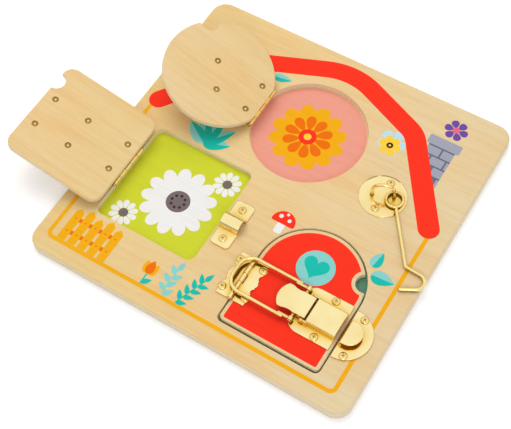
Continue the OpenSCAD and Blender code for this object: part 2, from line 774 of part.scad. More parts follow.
module catch_plate() {
    tongue_half = 10.5;
    top = 7;
    bend = top / 2;
    left = catch_x - 1;
    right = catch_x + 14;
    color("gold") translate([0, catch_y, face_z]) difference() {
        union() {
            linear_extrude(sheet) intersection() {
                translate([catch_x, 0]) circle(catch_r, $fn = 96);
                translate([left + bend, -catch_r]) square([40, 2 * catch_r]);
            }
            linear_extrude(sheet) intersection() {
                translate([catch_x, 0]) circle(catch_r, $fn = 96);
                for (s = [-1, 1]) translate([left, s * (tongue_half + catch_r) / 2 - (catch_r - tongue_half) / 2])
                    square([bend + 1, catch_r - tongue_half]);
            }
            intersection() {
                rotate([90, 0, 0]) linear_extrude(2 * tongue_half, center = true) {
                    intersection() {
                        translate([left + bend, bend]) difference() {
                            circle(bend, $fn = 48);
                            circle(bend - sheet, $fn = 48);
                        }
                        translate([left - 1, -1]) square([bend + 1, top + 2]);
                    }
                    translate([left + bend, top - sheet]) square([right - left - bend, sheet]);
                }
                linear_extrude(20) {
                    translate([right - tongue_half, 0]) circle(tongue_half);
                    translate([left - 1, -tongue_half]) square([right - tongue_half - left + 1, 2 * tongue_half]);
                }
            }
        }
        for (s = [-1, 1])
            translate([catch_x + catch_screw.x, s * catch_screw.y, -1]) cylinder(r = hole_r, h = sheet + 2);
    }
}

module catch_screws() { color("goldenrod") screws(catch_screws_at); }

front_panel();
back_panel();
square_hinge_board_leaf();
round_hinge_board_leaf();
barn_hinge_board_leaf();
square_hinge_pin();
round_hinge_pin();
barn_hinge_pin();
board_hinge_screws();
keeper_strap();
keeper_screws();
hook_rosette();
hook_staple();
hook_rosette_screws();
catch_plate();
catch_screws();
square_door();
square_hinge_door_leaf();
square_hinge_rivets();
bolt_casing();
bolt_casing_rivets();
bolt_rod();
bolt_knob();
round_door();
round_hinge_door_leaf();
round_hinge_rivets();
round_rosette();
round_staple();
round_rosette_rivets();
barn_door();
barn_hinge_door_leaf();
barn_hinge_rivets();
latch_base();
latch_base_rivets();
lever_pin();
latch_lever();
bail_pin();
latch_bail();
hook();
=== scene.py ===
import json
import math

import bmesh
import bpy
from mathutils import Matrix, Quaternion, Vector


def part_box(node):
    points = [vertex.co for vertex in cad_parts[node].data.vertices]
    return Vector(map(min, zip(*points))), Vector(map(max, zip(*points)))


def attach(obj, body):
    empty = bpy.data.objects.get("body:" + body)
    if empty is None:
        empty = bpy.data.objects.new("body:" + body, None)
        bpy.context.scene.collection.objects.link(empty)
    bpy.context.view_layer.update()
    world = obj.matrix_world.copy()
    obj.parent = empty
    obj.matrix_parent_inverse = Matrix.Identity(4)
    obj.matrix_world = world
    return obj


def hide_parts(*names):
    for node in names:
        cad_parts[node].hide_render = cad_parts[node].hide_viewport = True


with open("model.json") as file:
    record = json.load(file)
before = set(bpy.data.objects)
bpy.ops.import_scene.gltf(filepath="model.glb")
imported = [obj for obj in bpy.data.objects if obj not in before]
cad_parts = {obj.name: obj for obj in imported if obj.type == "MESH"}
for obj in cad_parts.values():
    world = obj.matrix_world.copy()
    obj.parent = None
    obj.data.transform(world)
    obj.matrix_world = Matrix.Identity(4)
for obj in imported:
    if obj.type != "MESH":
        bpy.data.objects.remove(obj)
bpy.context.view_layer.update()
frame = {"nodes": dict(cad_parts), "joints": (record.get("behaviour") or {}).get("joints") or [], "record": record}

# ---- Camera ----
# It stands in front of the board and to its right, and looks down on it at about sixty degrees,
# with a long lens and a slight roll.

eye = Vector((0.256876, -0.391691, 0.770861))
aim = Vector((0.0007, -0.0322, 0.009))
roll = math.radians(-4.385)


def add_object(name, data):
    made = bpy.data.objects.new(name, data)
    bpy.context.scene.collection.objects.link(made)
    return made


def point_at(made, place, goal, turn=0.0):
    """Puts a camera or a lamp in its place, facing its goal, with a turn about its own axis."""
    made.location = place
    made.rotation_mode = "QUATERNION"
    made.rotation_quaternion = (goal - place).to_track_quat("-Z", "Y") @ Quaternion((0, 0, 1), turn)


lens_data = bpy.data.cameras.new("camera")
lens_data.lens = 74.966
lens_data.sensor_width = 36
camera = add_object("camera", lens_data)
point_at(camera, eye, aim, roll)
bpy.context.scene.camera = camera
bpy.context.scene.view_settings.view_transform = "Standard"

# ---- Table top and light ----
# The board lies on a white table in a white room, which brass mirrors. One broad soft lamp hangs
# behind it and gives it its shadow, a weaker one fills from the front and sparkles on round brass.
# Low tan cards stand far round the table, where only brass sees them, and darken its bends.

TABLE_R = 4.0
ROOM_LIGHT = 0.60
lamplit_r, unlit_r = 0.5, 2.5
lamplit_glow, unlit_glow = 0.27, 0.56


def add_node(tree, kind, **settings):
    """Adds a node. A setting is an attribute of the node or, failing that, an input's value."""
    node = tree.nodes.new(kind)
    for name, value in settings.items():
        if hasattr(node, name):
            setattr(node, name, value)
        else:
            node.inputs[name.replace("_", " ")].default_value = value
    return node


def feed(tree, value, socket):
    """Gives an input its value, which is an output, a pair (node, output name) or a constant."""
    if isinstance(value, tuple):
        value = value[0].outputs[value[1]]
    if isinstance(value, bpy.types.NodeSocket):
        tree.links.new(value, socket)
    elif value is not None:
        socket.default_value = value


def maths(tree, operation, *values):
    """A Math node on outputs or constants."""
    node = add_node(tree, "ShaderNodeMath", operation=operation)
    for value, socket in zip(values, node.inputs):
        feed(tree, value, socket)
    return node.outputs[0]


def spread(tree, value, start, end, low=0.0, high=1.0):
    """Maps what runs from start to end onto low to high, and holds it there."""
    node = add_node(tree, "ShaderNodeMapRange", From_Min=start, From_Max=end,
                    To_Min=low, To_Max=high)
    feed(tree, value, node.inputs["Value"])
    return node.outputs["Result"]


def new_material(name, **surface):
    """A material, its tree and its surface shader, on which some inputs are set."""
    material = bpy.data.materials.new(name)
    material.use_nodes = True
    shader = material.node_tree.nodes["Principled BSDF"]
    for label, value in surface.items():
        shader.inputs[label.replace("_", " ")].default_value = value
    return material, material.node_tree, shader


def white_for_camera(tree, dim):
    """A value that is 1 on camera, glossy and transmission rays, and dim on all others."""
    path = add_node(tree, "ShaderNodeLightPath")
    seen = path.outputs["Is Camera Ray"]
    for ray in ("Is Glossy Ray", "Is Transmission Ray"):
        seen = maths(tree, "MAXIMUM", seen, path.outputs[ray])
    return spread(tree, seen, 0.0, 1.0, dim, 1.0)


room = bpy.data.worlds.new("white_room")
room.use_nodes = True
bpy.context.scene.world = room
background = room.node_tree.nodes["Background"]
background.inputs["Color"].default_value = (1, 1, 1, 1)
feed(room.node_tree, white_for_camera(room.node_tree, ROOM_LIGHT), background.inputs["Strength"])


def table_paint():
    """Matt white. A glow, which only the camera and brass see, takes over where the lamps fade."""
    material, tree, paint = new_material(
        "table_paint", Base_Color=(0.86, 0.86, 0.87, 1), Roughness=0.9, Specular_IOR_Level=0.0)
    texture = add_node(tree, "ShaderNodeTexCoord")
    away = add_node(tree, "ShaderNodeVectorMath", operation="LENGTH")
    feed(tree, texture.outputs["Object"], away.inputs[0])
    lift = spread(tree, away.outputs["Value"], lamplit_r, unlit_r, lamplit_glow, unlit_glow)
    glow = add_node(tree, "ShaderNodeEmission", Color=(1, 1, 1, 1))
    feed(tree, maths(tree, "MULTIPLY", white_for_camera(tree, 0.0), lift), glow.inputs["Strength"])
    both = add_node(tree, "ShaderNodeAddShader")
    feed(tree, paint.outputs[0], both.inputs[0])
    feed(tree, glow.outputs[0], both.inputs[1])
    feed(tree, both.outputs[0], tree.nodes["Material Output"].inputs["Surface"])
    return material


table_mesh = bpy.data.meshes.new("table")
shape = bmesh.new()
bmesh.ops.create_circle(shape, cap_ends=True, radius=TABLE_R, segments=64)
shape.to_mesh(table_mesh)
shape.free()
table_mesh.materials.append(table_paint())
table = add_object("table", table_mesh)

CARDS_R, CARDS_H, CARD_COUNT = 3.2, 0.95, 12
CARD_FOLDS = (0, 0.28, 0.56, 0.84)
CARD_TAN = (0.52, 0.42, 0.30, 1)

card_mesh = bpy.data.meshes.new("cards")
shape = bmesh.new()
for card in range(CARD_COUNT):
    turns = [2 * math.pi * (card + share) / CARD_COUNT for share in CARD_FOLDS]
    foot, top = (
        [shape.verts.new((CARDS_R * math.cos(t), CARDS_R * math.sin(t), z)) for t in turns]
        for z in (0, CARDS_H))
    for i in range(len(turns) - 1):
        shape.faces.new((foot[i + 1], foot[i], top[i], top[i + 1]))
shape.to_mesh(card_mesh)
shape.free()
card_mesh.materials.append(new_material("card_paint", Base_Color=CARD_TAN, Roughness=0.9)[0])
cards = add_object("cards", card_mesh)
cards.visible_camera = cards.visible_diffuse = False
cards.visible_transmission = cards.visible_shadow = False

for name, place, side, watts, sparkles in (
    ("back_lamp", (-0.60, 0.66, 1.60), 1.35, 15.6, False),
    ("front_lamp", (0.9, -1.1, 1.1), 0.7, 4.6, True),
):
    lamp_data = bpy.data.lights.new(name, "AREA")
    lamp_data.size = side
    lamp_data.energy = watts
    lamp = add_object(name, lamp_data)
    point_at(lamp, Vector(place), Vector())
    lamp.visible_glossy = sparkles

# ---- Plywood board ----
# Two sheets of birch plywood glued face to face: the front one has the three openings, the back
# one closes them. Faces are sanded and clear lacquered, edges show the plies.

MM = 0.001
FRONT_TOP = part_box("front_panel")[1].z
BACK_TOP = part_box("back_panel")[1].z
FRONT_PLIES, BACK_PLIES = 5, 3
UNSTAINED = "#FFFFFF"
nodes = frame["nodes"]


def colour(code):
    """A web colour code as the linear colour that Blender takes."""
    parts = [int(code[i:i + 2], 16) / 255 for i in (1, 3, 5)]
    return [c / 12.92 if c <= 0.04045 else ((c + 0.055) / 1.055) ** 2.4 for c in parts] + [1]


def closed_place(tree, opened):
    """Object coordinates and normal, turned back to where the piece lies with its door closed."""
    texture = add_node(tree, "ShaderNodeTexCoord")
    back = opened.inverted()
    where = add_node(tree, "ShaderNodeMapping", Location=back.to_translation(),
                     Rotation=back.to_euler())
    feed(tree, texture.outputs["Object"], where.inputs["Vector"])
    facing = add_node(tree, "ShaderNodeMapping", Rotation=back.to_euler())
    feed(tree, texture.outputs["Normal"], facing.inputs["Vector"])
    return where.outputs[0], facing.outputs[0]


def split_xyz(tree, vector):
    node = add_node(tree, "ShaderNodeSeparateXYZ")
    feed(tree, vector, node.inputs[0])
    return node.outputs["X"], node.outputs["Y"], node.outputs["Z"]


def streaks(tree, place, along, across, detail=3.0, shift=0.0):
    """Noise drawn out along X, in features a metre."""
    stretch = add_node(tree, "ShaderNodeMapping", Scale=(along, across, across),
                       Location=(shift, shift, shift))
    feed(tree, place, stretch.inputs["Vector"])
    noise = add_node(tree, "ShaderNodeTexNoise", Scale=1.0, Detail=detail, Roughness=0.6)
    feed(tree, stretch.outputs[0], noise.inputs["Vector"])
    return noise.outputs["Fac"]


def ramp(tree, fac, *stops):
    """Turns a value into a colour. Each stop is a position and a colour or its web code."""
    node = add_node(tree, "ShaderNodeValToRGB")
    while len(node.color_ramp.elements) < len(stops):
        node.color_ramp.elements.new(0.5)
    for element, (position, shade) in zip(node.color_ramp.elements, stops):
        element.position = position
        element.color = colour(shade) if isinstance(shade, str) else shade
    feed(tree, fac, node.inputs["Fac"])
    return node.outputs["Color"]


def mix(tree, kind, amount, first, second):
    """Mixes two colours. The numbers are those of the node's sockets for colours."""
    node = add_node(tree, "ShaderNodeMix", data_type="RGBA", blend_type=kind)
    for number, value in ((0, amount), (6, first), (7, second)):
        feed(tree, value, node.inputs[number])
    return node.outputs[2]


def relief(tree, height, strength, depth, normal=None):
    """Fine unevenness of a surface, as its normal."""
    node = add_node(tree, "ShaderNodeBump", Strength=strength, Distance=depth)
    feed(tree, height, node.inputs["Height"])
    feed(tree, normal, node.inputs["Normal"])
    return node.outputs[0]


def plywood(name, foot, ply_t, opened=Matrix.Identity(4), shift=0.0):
    """Birch plywood, whose underside is at height foot and whose plies are ply_t thick.

    opened is how its door was moved, and shift picks another stretch of grain.
    """
    material, tree, wood = new_material(name, Specular_IOR_Level=0.3)
    place, normal = closed_place(tree, opened)
    right, _, height = split_xyz(tree, place)
    patches = streaks(tree, place, 9.0, 26.0, 2.0, shift)
    grain = streaks(tree, place, 10.0, 240.0, 4.0, shift)
    fibre = streaks(tree, place, 60.0, 1900.0, 2.0, shift)
    # The face is yellower and a little darker at the board's left side, and paler towards its right.
    uneven = streaks(tree, place, 3.0, 9.0, 1.0, shift)
    left_yellow_fade = spread(tree, maths(tree, "MULTIPLY_ADD", uneven, 0.12, right), -0.08, 0.20)
    face = ramp(tree, patches, (0.32, "#EFD9AE"), (0.52, "#EFD5A5"), (0.74, "#F0CF9B"))
    for amount, mask, stops in (
        (1.0, left_yellow_fade, ((0.0, "#F9F3DA"), (0.55, "#FBF5E8"), (1.0, "#F7F9FB"))),
        (0.24, grain, ((0.34, "#EAD8BE"), (0.56, UNSTAINED))),
        (0.25, fibre, ((0.3, "#E4D2B8"), (0.6, UNSTAINED))),
    ):
        face = mix(tree, "MULTIPLY", amount, face, ramp(tree, mask, *stops))
    # Plies light and dark in turn, as their grain runs along the edge or ends in it.
    ply = maths(tree, "DIVIDE", maths(tree, "SUBTRACT", height, foot), ply_t)
    edge = ramp(tree, maths(tree, "PINGPONG", ply, 1.0), (0.42, "#FBF0D8"), (0.58, "#EDDAB6"))
    edge = mix(tree, "MULTIPLY", 0.5, edge, ramp(tree, fibre, (0.3, "#D8C4A4"), (0.65, UNSTAINED)))
    flat = maths(tree, "ABSOLUTE", split_xyz(tree, normal)[2])
    shade = mix(tree, "MIX", spread(tree, flat, 0.45, 0.7), edge, face)
    feed(tree, shade, wood.inputs["Base Color"])
    feed(tree, spread(tree, grain, 0.0, 1.0, 0.5, 0.62), wood.inputs["Roughness"])
    feed(tree, relief(tree, fibre, 0.25, 0.12 * MM), wood.inputs["Normal"])
    return material


def finish_node(name, material):
    for place in nodes[name].material_slots:
        place.material = material


front_ply, back_ply = (FRONT_TOP - BACK_TOP) / FRONT_PLIES, BACK_TOP / BACK_PLIES
finish_node("front_panel", plywood("front_plywood", BACK_TOP, front_ply))
finish_node("back_panel", plywood("back_plywood", 0.0, back_ply, shift=3.7))

# ---- Printed picture on the board ----
# Silk-screened ink, some hundredths of a millimetre thick, under the same clear lacquer. An amber
# ground line and a red barn roof frame the doors.

INK_T = 0.05 * MM
LAYER_STEP = 0.6
CAP_DROP = 0.004 * MM
THIN_INK, FULL_INK = (0.9, 0.9, 0.9, 1), (1, 1, 1, 1)
RED, AMBER = "#FD331A", "#F3AE08"
ON_FRONT = ("root", FRONT_TOP)


def ink(code):
    """One printing ink. The wood's grain shows faintly through it."""
    name = "ink_" + code.strip("#").lower()
    if name in bpy.data.materials:
        return bpy.data.materials[name]
    material, tree, film = new_material(name, Specular_IOR_Level=0.16)
    texture = add_node(tree, "ShaderNodeTexCoord")
    grain = streaks(tree, texture.outputs["Object"], 14.0, 300.0, 3.0)
    speck = streaks(tree, texture.outputs["Object"], 900.0, 1100.0, 1.0)
    body = mix(tree, "MULTIPLY", 0.4, colour(code),
               ramp(tree, grain, (0.35, THIN_INK), (0.55, FULL_INK)))
    body = mix(tree, "MULTIPLY", 0.3, body, ramp(tree, speck, (0.3, THIN_INK), (0.6, FULL_INK)))
    feed(tree, body, film.inputs["Base Color"])
    feed(tree, spread(tree, grain, 0.0, 1.0, 0.42, 0.55), film.inputs["Roughness"])
    feed(tree, relief(tree, grain, 0.2, 0.08 * MM), film.inputs["Normal"])
    return material


def ink_rise(layer):
    """Height of a layer's top above the wood. The layer says what lies on what."""
    return INK_T * (1 + layer * LAYER_STEP)


def ink_level(under, layer):
    """Middle height and thickness of a layer of ink on a surface."""
    return under + (ink_rise(layer) - INK_T / 2) / 2, ink_rise(layer) + INK_T / 2


def mount(made, body):
    """Fixes a finished piece to its body."""
    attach(made, body)
    return made


def new_tree(name, *inputs):
    """A geometry tree with named inputs, and its way in and out."""
    tree = bpy.data.node_groups.new(name, "GeometryNodeTree")
    tree.interface.new_socket("Geometry", in_out="INPUT", socket_type="NodeSocketGeometry")
    for label, kind in inputs:
        tree.interface.new_socket(label, in_out="INPUT", socket_type="NodeSocket" + kind)
    tree.interface.new_socket("Geometry", in_out="OUTPUT", socket_type="NodeSocketGeometry")
    return tree, add_node(tree, "NodeGroupInput"), add_node(tree, "NodeGroupOutput")


def wire(tree, start, end):
    """Joins an output to an input, which is a pair (node, input name or number)."""
    feed(tree, start, end[0].inputs[end[1]])


def end_tree(tree, way_in, way_out, last):
    """Makes the instances real and gives them their ink."""
    real = add_node(tree, "GeometryNodeRealizeInstances")
    flat = add_node(tree, "GeometryNodeSetShadeSmooth", Shade_Smooth=False)
    paint = add_node(tree, "GeometryNodeSetMaterial")
    wire(tree, last, (real, "Geometry"))
    wire(tree, (real, "Geometry"), (flat, "Geometry"))
    wire(tree, (flat, "Geometry"), (paint, "Geometry"))
    wire(tree, (way_in, "Ink"), (paint, "Material"))
    wire(tree, (paint, "Geometry"), (way_out, "Geometry"))
    return tree


def grow(name, tree, points, height, body, edges=(), bends=None, slot="printed_ink", **sizes):
    """Runs a tree on a few points in millimetres, and keeps the plain mesh that it makes."""
    base = bpy.data.meshes.new(name)
    base.from_pydata([(x * MM, y * MM, height) for x, y in points], edges, [])
    if bends:
        corner_radii = base.attributes.new("bend", "FLOAT", "POINT")
        corner_radii.data.foreach_set("value", [bend * MM for bend in bends])
    made = add_object(name, base)
    maker = made.modifiers.new(tree.name, "NODES")
    maker.node_group = tree
    for item in tree.interface.items_tree:
        size = item.name.replace(" ", "_")
        if item.in_out == "INPUT" and size in sizes:
            maker[item.identifier] = sizes[size]
    settled = made.evaluated_get(bpy.context.evaluated_depsgraph_get())
    mesh = bpy.data.meshes.new_from_object(settled)
    made.modifiers.clear()
    made.data = mesh
    mesh.name = name
    return mount(made, body)


def path_edges(points):
    return [(i, i + 1) for i in range(len(points) - 1)]


def band_tree():
    """A stroke of ink of even width that follows a path, with round corners and round ends."""
    tree, way_in, way_out = new_tree(
        "ink_band", ("Width", "Float"), ("Thickness", "Float"), ("Ink", "Material"))
    path = add_node(tree, "GeometryNodeMeshToCurve")
    corner = add_node(tree, "GeometryNodeInputNamedAttribute", data_type="FLOAT", Name="bend")
    bend = add_node(tree, "GeometryNodeFilletCurve", mode="POLY", Count=12)
    line = add_node(tree, "GeometryNodeCurveToMesh", Fill_Caps=True)
    nib = add_node(tree, "GeometryNodeCurvePrimitiveQuadrilateral")
    ends = add_node(tree, "GeometryNodeCurveEndpointSelection")
    cap = add_node(tree, "GeometryNodeMeshCylinder", Vertices=32)
    caps = add_node(tree, "GeometryNodeInstanceOnPoints")
    lower = add_node(tree, "GeometryNodeSetPosition", Offset=(0, 0, -CAP_DROP))
    both = add_node(tree, "GeometryNodeJoinGeometry")
    wire(tree, (way_in, "Geometry"), (path, "Mesh"))
    wire(tree, (path, "Curve"), (bend, "Curve"))
    wire(tree, (corner, "Attribute"), (bend, "Radius"))
    wire(tree, (bend, "Curve"), (line, "Curve"))
    wire(tree, (nib, "Curve"), (line, "Profile Curve"))
    wire(tree, (way_in, "Width"), (nib, "Width"))
    wire(tree, (way_in, "Thickness"), (nib, "Height"))
    wire(tree, maths(tree, "DIVIDE", (way_in, "Width"), 2.0), (cap, "Radius"))
    wire(tree, (way_in, "Thickness"), (cap, "Depth"))
    wire(tree, (bend, "Curve"), (caps, "Points"))
    wire(tree, (ends, "Selection"), (caps, "Selection"))
    wire(tree, (cap, "Mesh"), (caps, "Instance"))
    wire(tree, (line, "Mesh"), (both, "Geometry"))
    wire(tree, (caps, "Instances"), (lower, "Geometry"))
    wire(tree, (lower, "Geometry"), (both, "Geometry"))
    return end_tree(tree, way_in, way_out, (both, "Geometry"))


BAND = band_tree()


def stroke(name, body, under, layer, code, width, points, bends):
    height, thick = ink_level(under, layer)
    return grow(name, BAND, points, height, body, path_edges(points), bends,
                Width=width * MM, Thickness=thick, Ink=ink(code))


roof_line = [(-135, 25), (-78, 105.5), (0, 137.5), (77, 105), (129.8, 27.6)]
ground_line = [(-138, 24), (-138, -135), (132.5, -135), (132.5, 24)]
stroke("ground_line", *ON_FRONT, 0, AMBER, 3.5, ground_line, (0, 5, 5, 0))
stroke("barn_roof", *ON_FRONT, 2, RED, 18.0, roof_line, (0, 26, 60, 26, 0))

# ---- Chimney ----
# Courses of brick behind the right slope of the roof, with a plain cap, in two greys. The roof
# hides the lower bricks on the left.

GREY, DARK_GREY = "#A2A4B2", "#676B7C"
chimney_x, chimney_w, chimney_top, left_foot, right_foot = 104.0, 24.0, 103.5, 86.0, 54.0
cap_h, cap_ledge, cap_corner_r = 9.5, 3.0, 1.2
brick_l, course_h, joint_w, brick_corner_r, least_brick = 12.5, 8.2, 1.5, 0.6, 1.5
lowest_course = right_foot + 4.0
slope_x, slope_y, slope_run, slope_fall = 76, 104, 53, 77


def arc(x, y, r, start, end, count=24):
    """Points along a circle, from one angle to another in degrees."""
    angles = [math.radians(start + (end - start) * i / count) for i in range(count + 1)]
    return [(x + r * math.cos(a), y + r * math.sin(a)) for a in angles]


def rounded(x0, y0, x1, y1, r):
    """A rectangle with round corners."""
    corners = ((x1 - r, y0 + r, -90), (x1 - r, y1 - r, 0), (x0 + r, y1 - r, 90),
               (x0 + r, y0 + r, 180))
    return [p for x, y, a in corners for p in arc(x, y, r, a, a + 90, 8)]


def print_shapes(name, body, under, shapes):
    """Prints flat shapes in millimetres. Each is an ink, a layer and an outline."""
    mesh = bpy.data.meshes.new(name)
    sheet = bmesh.new()
    inks = []
    for code, layer, outline in shapes:
        if code not in inks:
            inks.append(code)
        low, high = under - INK_T / 2, under + ink_rise(layer)
        rings = [[sheet.verts.new((x * MM, y * MM, z)) for x, y in outline] for z in (low, high)]
        faces = [sheet.faces.new(rings[1]), sheet.faces.new(rings[0][::-1])]
        for i in range(len(outline)):
            j = (i + 1) % len(outline)
            faces.append(sheet.faces.new((rings[0][i], rings[0][j], rings[1][j], rings[1][i])))
        for face in faces:
            face.material_index = inks.index(code)
    bmesh.ops.recalc_face_normals(sheet, faces=sheet.faces)
    bmesh.ops.triangulate(sheet, faces=[f for f in sheet.faces if len(f.verts) > 4])
    sheet.to_mesh(mesh)
    sheet.free()
    for code in inks:
        mesh.materials.append(ink(code))
    return mount(add_object(name, mesh), body)


wall_left, wall_right = chimney_x - chimney_w / 2, chimney_x + chimney_w / 2
wall_shapes = [
    (DARK_GREY, 0, [(wall_left, left_foot), (wall_right, right_foot),
                    (wall_right, chimney_top), (wall_left, chimney_top)]),
    (GREY, 1, rounded(wall_left - cap_ledge, chimney_top,
                      wall_right + cap_ledge, chimney_top + cap_h, cap_corner_r)),
]
course_y = chimney_top - joint_w - course_h
while course_y > lowest_course:
    course = round((chimney_top - course_y) / (course_h + joint_w))
    x = wall_left + (0 if course % 2 else -brick_l / 2)
    while x < wall_right:
        left, right = max(x, wall_left), min(x + brick_l, wall_right)
        roof_y = slope_y - (left - slope_x) * slope_fall / slope_run
        if right - left > least_brick and course_y > roof_y:
            wall_shapes.append(
                (GREY, 1, rounded(left, course_y, right, course_y + course_h, brick_corner_r)))
        x += brick_l + joint_w
    course_y -= course_h + joint_w
print_shapes("chimney", *ON_FRONT, wall_shapes)

# ---- Picket fence ----
# Amber pickets with pointed tops, nailed to two orange rails, at the left end of the ground line.
# Every other picket is taller.

ORANGE = "#F07000"
fence_x, fence_y, picket_count = -130.0, -133.0, 5
picket_w, picket_gap, picket_h, point_h, taller = 7.6, 2.4, 32.0, 4, 3
rail_ys, rail_w, rail_corner_r, nail_r = (7, 20), 4, 0.8, 0.8


def disc(x, y, r, count=40):
    return arc(x, y, r, 0, 360, count)[:-1]


fence_end = fence_x + picket_count * (picket_w + picket_gap) - picket_gap
fence_shapes = [
    (ORANGE, 0, rounded(fence_x, fence_y + y, fence_end, fence_y + y + rail_w, rail_corner_r))
    for y in rail_ys
]
for i in range(picket_count):
    left = fence_x + i * (picket_w + picket_gap)
    peak = fence_y + picket_h + (taller if i % 2 else 0)
    fence_shapes.append((AMBER, 1, [
        (left, fence_y), (left + picket_w, fence_y), (left + picket_w, peak - point_h),
        (left + picket_w / 2, peak), (left, peak - point_h)]))
    for y in rail_ys:
        nail_y = fence_y + y + rail_w / 2
        fence_shapes.append((ORANGE, 2, disc(left + picket_w / 2, nail_y, nail_r, 12)))
print_shapes("picket_fence", *ON_FRONT, fence_shapes)

# ---- Plants on the board ----
# Leaf sprigs, a tulip, a toadstool, two flowers, two-tone leaves and a bush, printed round the
# doors.

TEAL, PALE_TEAL, WHITE, BROWN = "#16BFAE", "#8AD2CC", "#F1EFEC", "#3A2622"
YELLOW, PURPLE, PINK, SKY = "#FFD23A", "#6F4BA0", "#E86A8C", "#BFE0EA"
LEAF_SWELL, LEAF_POINT, PETAL_POINT = 0.62, 0.9, 0.45
LEAST_EDGE = 0.02
FAN_STEP = 0.002 * MM


def leaf(x, y, length, width, turn, share=(-1, 1)):
    """A pointed leaf that grows from x, y. A share of (-1, 0) keeps one half of it."""
    c, s = math.cos(math.radians(turn)), math.sin(math.radians(turn))
    edge = []
    for i in range(25):
        t = math.pi * i / 24
        swell = math.sin(t) * math.cos(t / 2) ** LEAF_POINT
        edge.append((length * (1 - math.cos(t)) / 2, LEAF_SWELL * width * swell))
    outline = [(u, v * share[1]) for u, v in edge] + [(u, v * share[0]) for u, v in edge[::-1]]
    kept = [p for i, p in enumerate(outline)
            if i == 0 or math.dist(p, outline[i - 1]) > LEAST_EDGE]
    return [(x + u * c - v * s, y + u * s + v * c) for u, v in kept]


def two_tone(x, y, length, width, turn, layer, step):
    """A pale leaf, and a step above it its shaded half."""
    return [(PALE_TEAL, layer, leaf(x, y, length, width, turn)),
            (TEAL, layer + step, leaf(x, y, length, width, turn, (-1, 0)))]


def join_xyz(tree, x=None, y=None, z=None):
    node = add_node(tree, "ShaderNodeCombineXYZ")
    for value, socket in zip((x, y, z), node.inputs):
        feed(tree, value, socket)
    return node.outputs[0]


def point_xyz(tree):
    return split_xyz(tree, (add_node(tree, "GeometryNodeInputPosition"), 0))


def reshape(tree, blank, x, y, z):
    """Moves each point of a blank to its new x, y and z."""
    shaped = add_node(tree, "GeometryNodeSetPosition")
    wire(tree, blank, (shaped, "Geometry"))
    wire(tree, join_xyz(tree, x, y, z), (shaped, "Position"))
    return shaped, "Geometry"


def petal_nodes(tree, way_in, tip):
    """A flat petal or leaf along X, pointed at its tip if tip is 1 and at its foot if it is -1."""
    blank = add_node(tree, "GeometryNodeMeshCylinder", Vertices=24, Radius=1.0)
    wire(tree, (way_in, "Thickness"), (blank, "Depth"))
    x, y, z = point_xyz(tree)
    share = maths(tree, "MULTIPLY", maths(tree, "ADD", x, 1.0), 0.5)
    along = maths(tree, "MULTIPLY", share, (way_in, "Length"))
    far = maths(tree, "MAXIMUM", maths(tree, "SUBTRACT", 1.0, maths(tree, "MULTIPLY", x, tip)), 0.0)
    taper = maths(tree, "POWER", maths(tree, "MULTIPLY", far, 0.5), PETAL_POINT)
    half = maths(tree, "MULTIPLY", (way_in, "Breadth"), LEAF_SWELL)
    across = maths(tree, "MULTIPLY", maths(tree, "MULTIPLY", y, taper), half)
    return reshape(tree, (blank, "Mesh"), along, across, z)


def fanned(tree, points):
    """Lifts each point a hair above the one before, so that no two petals share a plane."""
    number = add_node(tree, "GeometryNodeInputIndex")
    rise = add_node(tree, "ShaderNodeVectorMath", operation="SCALE")
    rise.inputs[0].default_value = (0, 0, FAN_STEP)
    wire(tree, (number, 0), (rise, "Scale"))
    lifted = add_node(tree, "GeometryNodeSetPosition")
    wire(tree, points, (lifted, "Geometry"))
    wire(tree, (rise, 0), (lifted, "Offset"))
    return lifted, "Geometry"


def sprig_tree():
    """Leaves in turn on the left and the right of a stem, and one at its tip."""
    tree, way_in, way_out = new_tree(
        "ink_sprig", ("Leaves", "Int"), ("Length", "Float"), ("Breadth", "Float"),
        ("Lean", "Float"), ("Thickness", "Float"), ("Ink", "Material"))
    stem = add_node(tree, "GeometryNodeMeshToCurve")
    spaced = add_node(tree, "GeometryNodeResampleCurve")
    wire(tree, (way_in, "Geometry"), (stem, "Mesh"))
    wire(tree, (stem, "Curve"), (spaced, "Curve"))
    wire(tree, (way_in, "Leaves"), (spaced, "Count"))
    along = add_node(tree, "GeometryNodeInputTangent")
    turn = add_node(tree, "FunctionNodeAlignRotationToVector", axis="X", pivot_axis="Z")
    wire(tree, (along, 0), (turn, "Vector"))
    number = add_node(tree, "GeometryNodeInputIndex")
    side = spread(tree, maths(tree, "MODULO", (number, 0), 2.0), 0.0, 1.0, -1.0, 1.0)
    last = add_node(tree, "GeometryNodeCurveEndpointSelection", Start_Size=0)
    ahead = add_node(tree, "GeometryNodeSwitch", input_type="FLOAT")
    wire(tree, (last, 0), (ahead, "Switch"))
    wire(tree, maths(tree, "MULTIPLY", side, (way_in, "Lean")), (ahead, "False"))
    tilt = add_node(tree, "FunctionNodeEulerToRotation")
    wire(tree, join_xyz(tree, z=(ahead, 0)), (tilt, 0))
    turned = add_node(tree, "FunctionNodeRotateRotation", rotation_space="LOCAL")
    wire(tree, (turn, 0), (turned, 0))
    wire(tree, (tilt, 0), (turned, 1))
    leaves = add_node(tree, "GeometryNodeInstanceOnPoints")
    wire(tree, fanned(tree, (spaced, "Curve")), (leaves, "Points"))
    wire(tree, petal_nodes(tree, way_in, 1), (leaves, "Instance"))
    wire(tree, (turned, 0), (leaves, "Rotation"))
    return end_tree(tree, way_in, way_out, (leaves, "Instances"))


